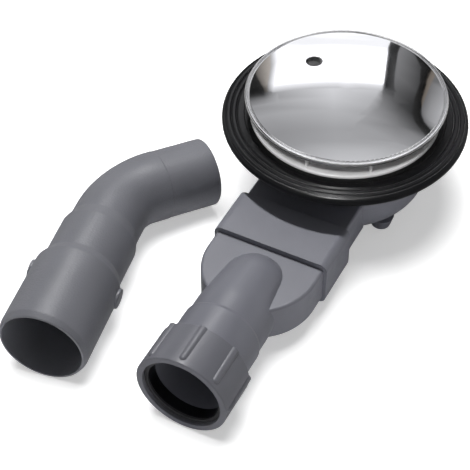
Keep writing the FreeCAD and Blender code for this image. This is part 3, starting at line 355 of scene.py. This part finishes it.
def finish(name, colour, variation, rough, grain_waves, grain_depth, edge, metallic=0.0, specular=0.5):
    """One surface: cloudy colour, roughness in patches, a fine grain and softly rounded edges."""
    material = bpy.data.materials.new(name)
    material.use_nodes = True
    tree = material.node_tree
    place = node(tree, "ShaderNodeTexCoord").outputs["Object"]
    clouds = spread(tree, noise(tree, place, CLOUD_WAVES, CLOUD_DETAIL), 0.0, 1.0)
    patches = noise(tree, place, PATCH_WAVES, PATCH_DETAIL, PATCH_SWIRL)
    rounded = node(tree, "ShaderNodeBevel", {"Radius": edge}, samples=EDGE_SAMPLES)
    bump = node(tree, "ShaderNodeBump", {
        "Strength": 1.0,
        "Distance": grain_depth,
        "Height": noise(tree, place, grain_waves, GRAIN_DETAIL),
        "Normal": rounded.outputs["Normal"],
    })
    darkest = shade(colour, 1 - variation)
    lightest = shade(colour, 1 + variation)
    feed(tree, tree.nodes["Principled BSDF"], {
        "Base Color": mixed(tree, "RGBA", clouds, darkest, lightest),
        "Roughness": spread(tree, patches, *rough),
        "Metallic": metallic,
        "Specular IOR Level": specular,
        "Normal": bump.outputs["Normal"],
    })
    return material


def dress(frame):
    """Gives every CAD node the finish of its slot."""
    finishes = {slot: finish(**looks) for slot, looks in FINISHES.items()}
    slots = {part["node"]: part["material_slot"] for part in frame["record"]["subparts"]}
    for name, made in frame["nodes"].items():
        for place in made.material_slots:
            place.material = finishes[slots[name]]


def sheet(name, corners, faces, material):
    """A mesh object of one material."""
    mesh = bpy.data.meshes.new(name)
    mesh.from_pydata(corners, [], faces)
    mesh.materials.append(material)
    made = bpy.data.objects.new(name, mesh)
    bpy.context.collection.objects.link(made)
    return made


def glow_material(name):
    """Light by the mesh's own glow value, for a card."""
    material = bpy.data.materials.new(name)
    material.use_nodes = True
    tree = material.node_tree
    tree.nodes.remove(tree.nodes["Principled BSDF"])
    level = node(tree, "ShaderNodeAttribute", attribute_name="glow")
    light = node(tree, "ShaderNodeEmission", {"Color": level.outputs["Color"]})
    feed(tree, tree.nodes["Material Output"], {"Surface": light.outputs["Emission"]})
    return material


def add_card(name, corners, glows, material):
    """A glowing sheet that only mirrors see. Its corners come in pairs, one pair after another along
    the sheet, and each corner has its glow."""
    faces = [(i, i + 1, i + 3, i + 2) for i in range(0, len(corners) - 2, 2)]
    made = sheet(name, corners, faces, material)
    glow = made.data.color_attributes.new("glow", "FLOAT_COLOR", "POINT")
    for corner, colour in zip(glow.data, glows):
        corner.color = colour
    made.visible_camera = False
    made.visible_diffuse = False
    made.visible_shadow = False
    made.visible_transmission = False


def add_cards():
    """What the chrome cap mirrors for the camera."""
    material = glow_material("studio_card_light")
    for name, rows, layer, tint in CARDS:
        middle = CARD_WAY * (CARD_DISTANCE - CARD_LAYER * layer)
        corners = []
        glows = []
        for height, left, right, left_level, right_level in rows:
            up = CARD_UP * (height / MM_PER_METRE)
            for across, level in ((left, left_level), (right, right_level)):
                corners.append(middle + CARD_SIDE * (across / MM_PER_METRE) + up)
                glows.append(shade(tint, level))
        add_card(name, corners, glows, material)


def add_strip():
    """The low strip. It draws the white line along the sides of the chrome rim."""
    first, last = STRIP_RUN
    corners = []
    glows = []
    for turn in range(first, last + 1, STRIP_STEP):
        angle = math.radians(turn)
        grown = min(1.0, min(turn - first, last - turn) / STRIP_FADE)
        level = STRIP_LEVEL * (STRIP_END_SHARE + (1 - STRIP_END_SHARE) * grown)
        for height in (STRIP_LOW, STRIP_TOP):
            corners.append((STRIP_R * math.cos(angle), STRIP_R * math.sin(angle), height))
            glows.append(grey(level))
    add_card("card_low_strip", corners, glows, glow_material("strip_light"))


def floor_material():
    """A pale surface that keeps the shadows. A camera sees it lifted to white, a mirror sees it dark."""
    material = bpy.data.materials.new("stage_floor")
    material.use_nodes = True
    tree = material.node_tree
    shader = tree.nodes["Principled BSDF"]
    ray = node(tree, "ShaderNodeLightPath")
    camera_ray = ray.outputs["Is Camera Ray"]
    pale = mixed(tree, "RGBA", camera_ray, grey(FLOOR_BOUNCE), grey(FLOOR_SEEN))
    feed(tree, shader, {
        "Base Color": mixed(tree, "RGBA", ray.outputs["Is Glossy Ray"], pale, grey(FLOOR_MIRRORED)),
        "Roughness": FLOOR_ROUGH,
        "Specular IOR Level": 0.0,
    })
    place = node(tree, "ShaderNodeTexCoord").outputs["Object"]
    away = node(tree, "ShaderNodeVectorMath", {0: place}, operation="LENGTH")
    level = spread(tree, away.outputs["Value"], FLOOR_LIFT, 1.0, FLOOR_LIT_R, FLOOR_WHITE_R)
    lift = node(tree, "ShaderNodeMath", {0: camera_ray, 1: level}, operation="MULTIPLY")
    glow = node(tree, "ShaderNodeEmission", {"Strength": lift.outputs["Value"]})
    both = node(tree, "ShaderNodeAddShader", {0: shader.outputs["BSDF"], 1: glow.outputs["Emission"]})
    feed(tree, tree.nodes["Material Output"], {"Surface": both.outputs["Shader"]})
    return material


def add_floor(height):
    """The square floor, at that height."""
    corners = [(x * FLOOR_HALF, y * FLOOR_HALF, height) for x, y in ((-1, -1), (1, -1), (1, 1), (-1, 1))]
    floor = sheet("stage_floor", corners, [(0, 1, 2, 3)], floor_material())
    return floor


def add_world():
    """Even studio light. A camera sees a white backdrop, and mirrors see the steps of the studio."""
    world = bpy.data.worlds.new("studio")
    bpy.context.scene.world = world
    world.use_nodes = True
    tree = world.node_tree
    look = node(tree, "ShaderNodeTexCoord").outputs["Generated"]
    height = node(tree, "ShaderNodeSeparateXYZ", {"Vector": look})
    ramp = node(tree, "ShaderNodeValToRGB", {"Fac": height.outputs["Z"]})
    # The ramp starts with a step at each end
    steps = ramp.color_ramp.elements
    for place, _ in STUDIO_STEPS[1:-1]:
        steps.new(place)
    for step, (_, level) in zip(steps, STUDIO_STEPS):
        step.color = grey(level)
    ray = node(tree, "ShaderNodeLightPath")
    mirrored = mixed(tree, "FLOAT", ray.outputs["Is Glossy Ray"], FILL_LEVEL, ramp.outputs["Color"])
    seen = mixed(tree, "FLOAT", ray.outputs["Is Camera Ray"], mirrored, BACKDROP_SEEN)
    feed(tree, tree.nodes["Background"], {"Color": grey(1.0), "Strength": seen})


def add_lamp(name, way, size, power, lit):
    """A round lamp that lights only the objects in lit."""
    lamp = bpy.data.lights.new(name, "AREA")
    lamp.shape = "DISK"
    lamp.size = size
    lamp.energy = power
    made = bpy.data.objects.new(name, lamp)
    bpy.context.collection.objects.link(made)
    toward = Vector(way).normalized()
    made.location = toward * LAMP_DISTANCE
    made.rotation_mode = "QUATERNION"
    made.rotation_quaternion = toward.to_track_quat("Z", "Y")
    made.visible_camera = False
    group = bpy.data.collections.new(name)
    for member in lit:
        group.objects.link(member)
    made.light_linking.receiver_collection = group


def add_camera():
    """The camera, placed as it stood for the photograph."""
    data = bpy.data.cameras.new("camera")
    data.lens = CAMERA_LENS
    data.sensor_width = CAMERA_SENSOR
    data.clip_start = CAMERA_NEAR
    data.clip_end = CAMERA_FAR
    camera = bpy.data.objects.new("camera", data)
    bpy.context.collection.objects.link(camera)
    camera.location = CAMERA_PLACE
    camera.rotation_mode = "QUATERNION"
    camera.rotation_quaternion = Vector(CAMERA_LOOK).to_track_quat("-Z", "Y")
    bpy.context.scene.camera = camera


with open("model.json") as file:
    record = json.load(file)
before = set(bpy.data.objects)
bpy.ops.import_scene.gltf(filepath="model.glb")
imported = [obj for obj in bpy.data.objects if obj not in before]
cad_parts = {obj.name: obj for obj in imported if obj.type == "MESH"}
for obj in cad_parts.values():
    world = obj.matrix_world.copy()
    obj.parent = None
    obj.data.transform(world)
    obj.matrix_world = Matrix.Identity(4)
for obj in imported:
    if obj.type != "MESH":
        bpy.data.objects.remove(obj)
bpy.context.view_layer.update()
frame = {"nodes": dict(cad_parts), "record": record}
dress(frame)
lowest = min(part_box(name)[0][2] for name in frame["nodes"])
floor = add_floor(lowest - FLOOR_DROP)
add_world()
add_cards()
add_strip()
matt = [made for name, made in frame["nodes"].items() if name != "cap"]
pale = [frame["nodes"][name] for name in RING_LAMP_NODES]
add_lamp("key_lamp", KEY_WAY, KEY_SIZE, KEY_POWER, matt)
add_lamp("floor_lamp", FLOOR_LAMP_WAY, FLOOR_LAMP_SIZE, FLOOR_LAMP_POWER, [floor])
add_lamp("ring_lamp", RING_LAMP_WAY, RING_LAMP_SIZE, RING_LAMP_POWER, pale)
add_camera()
bpy.context.scene.view_settings.view_transform = "Standard"
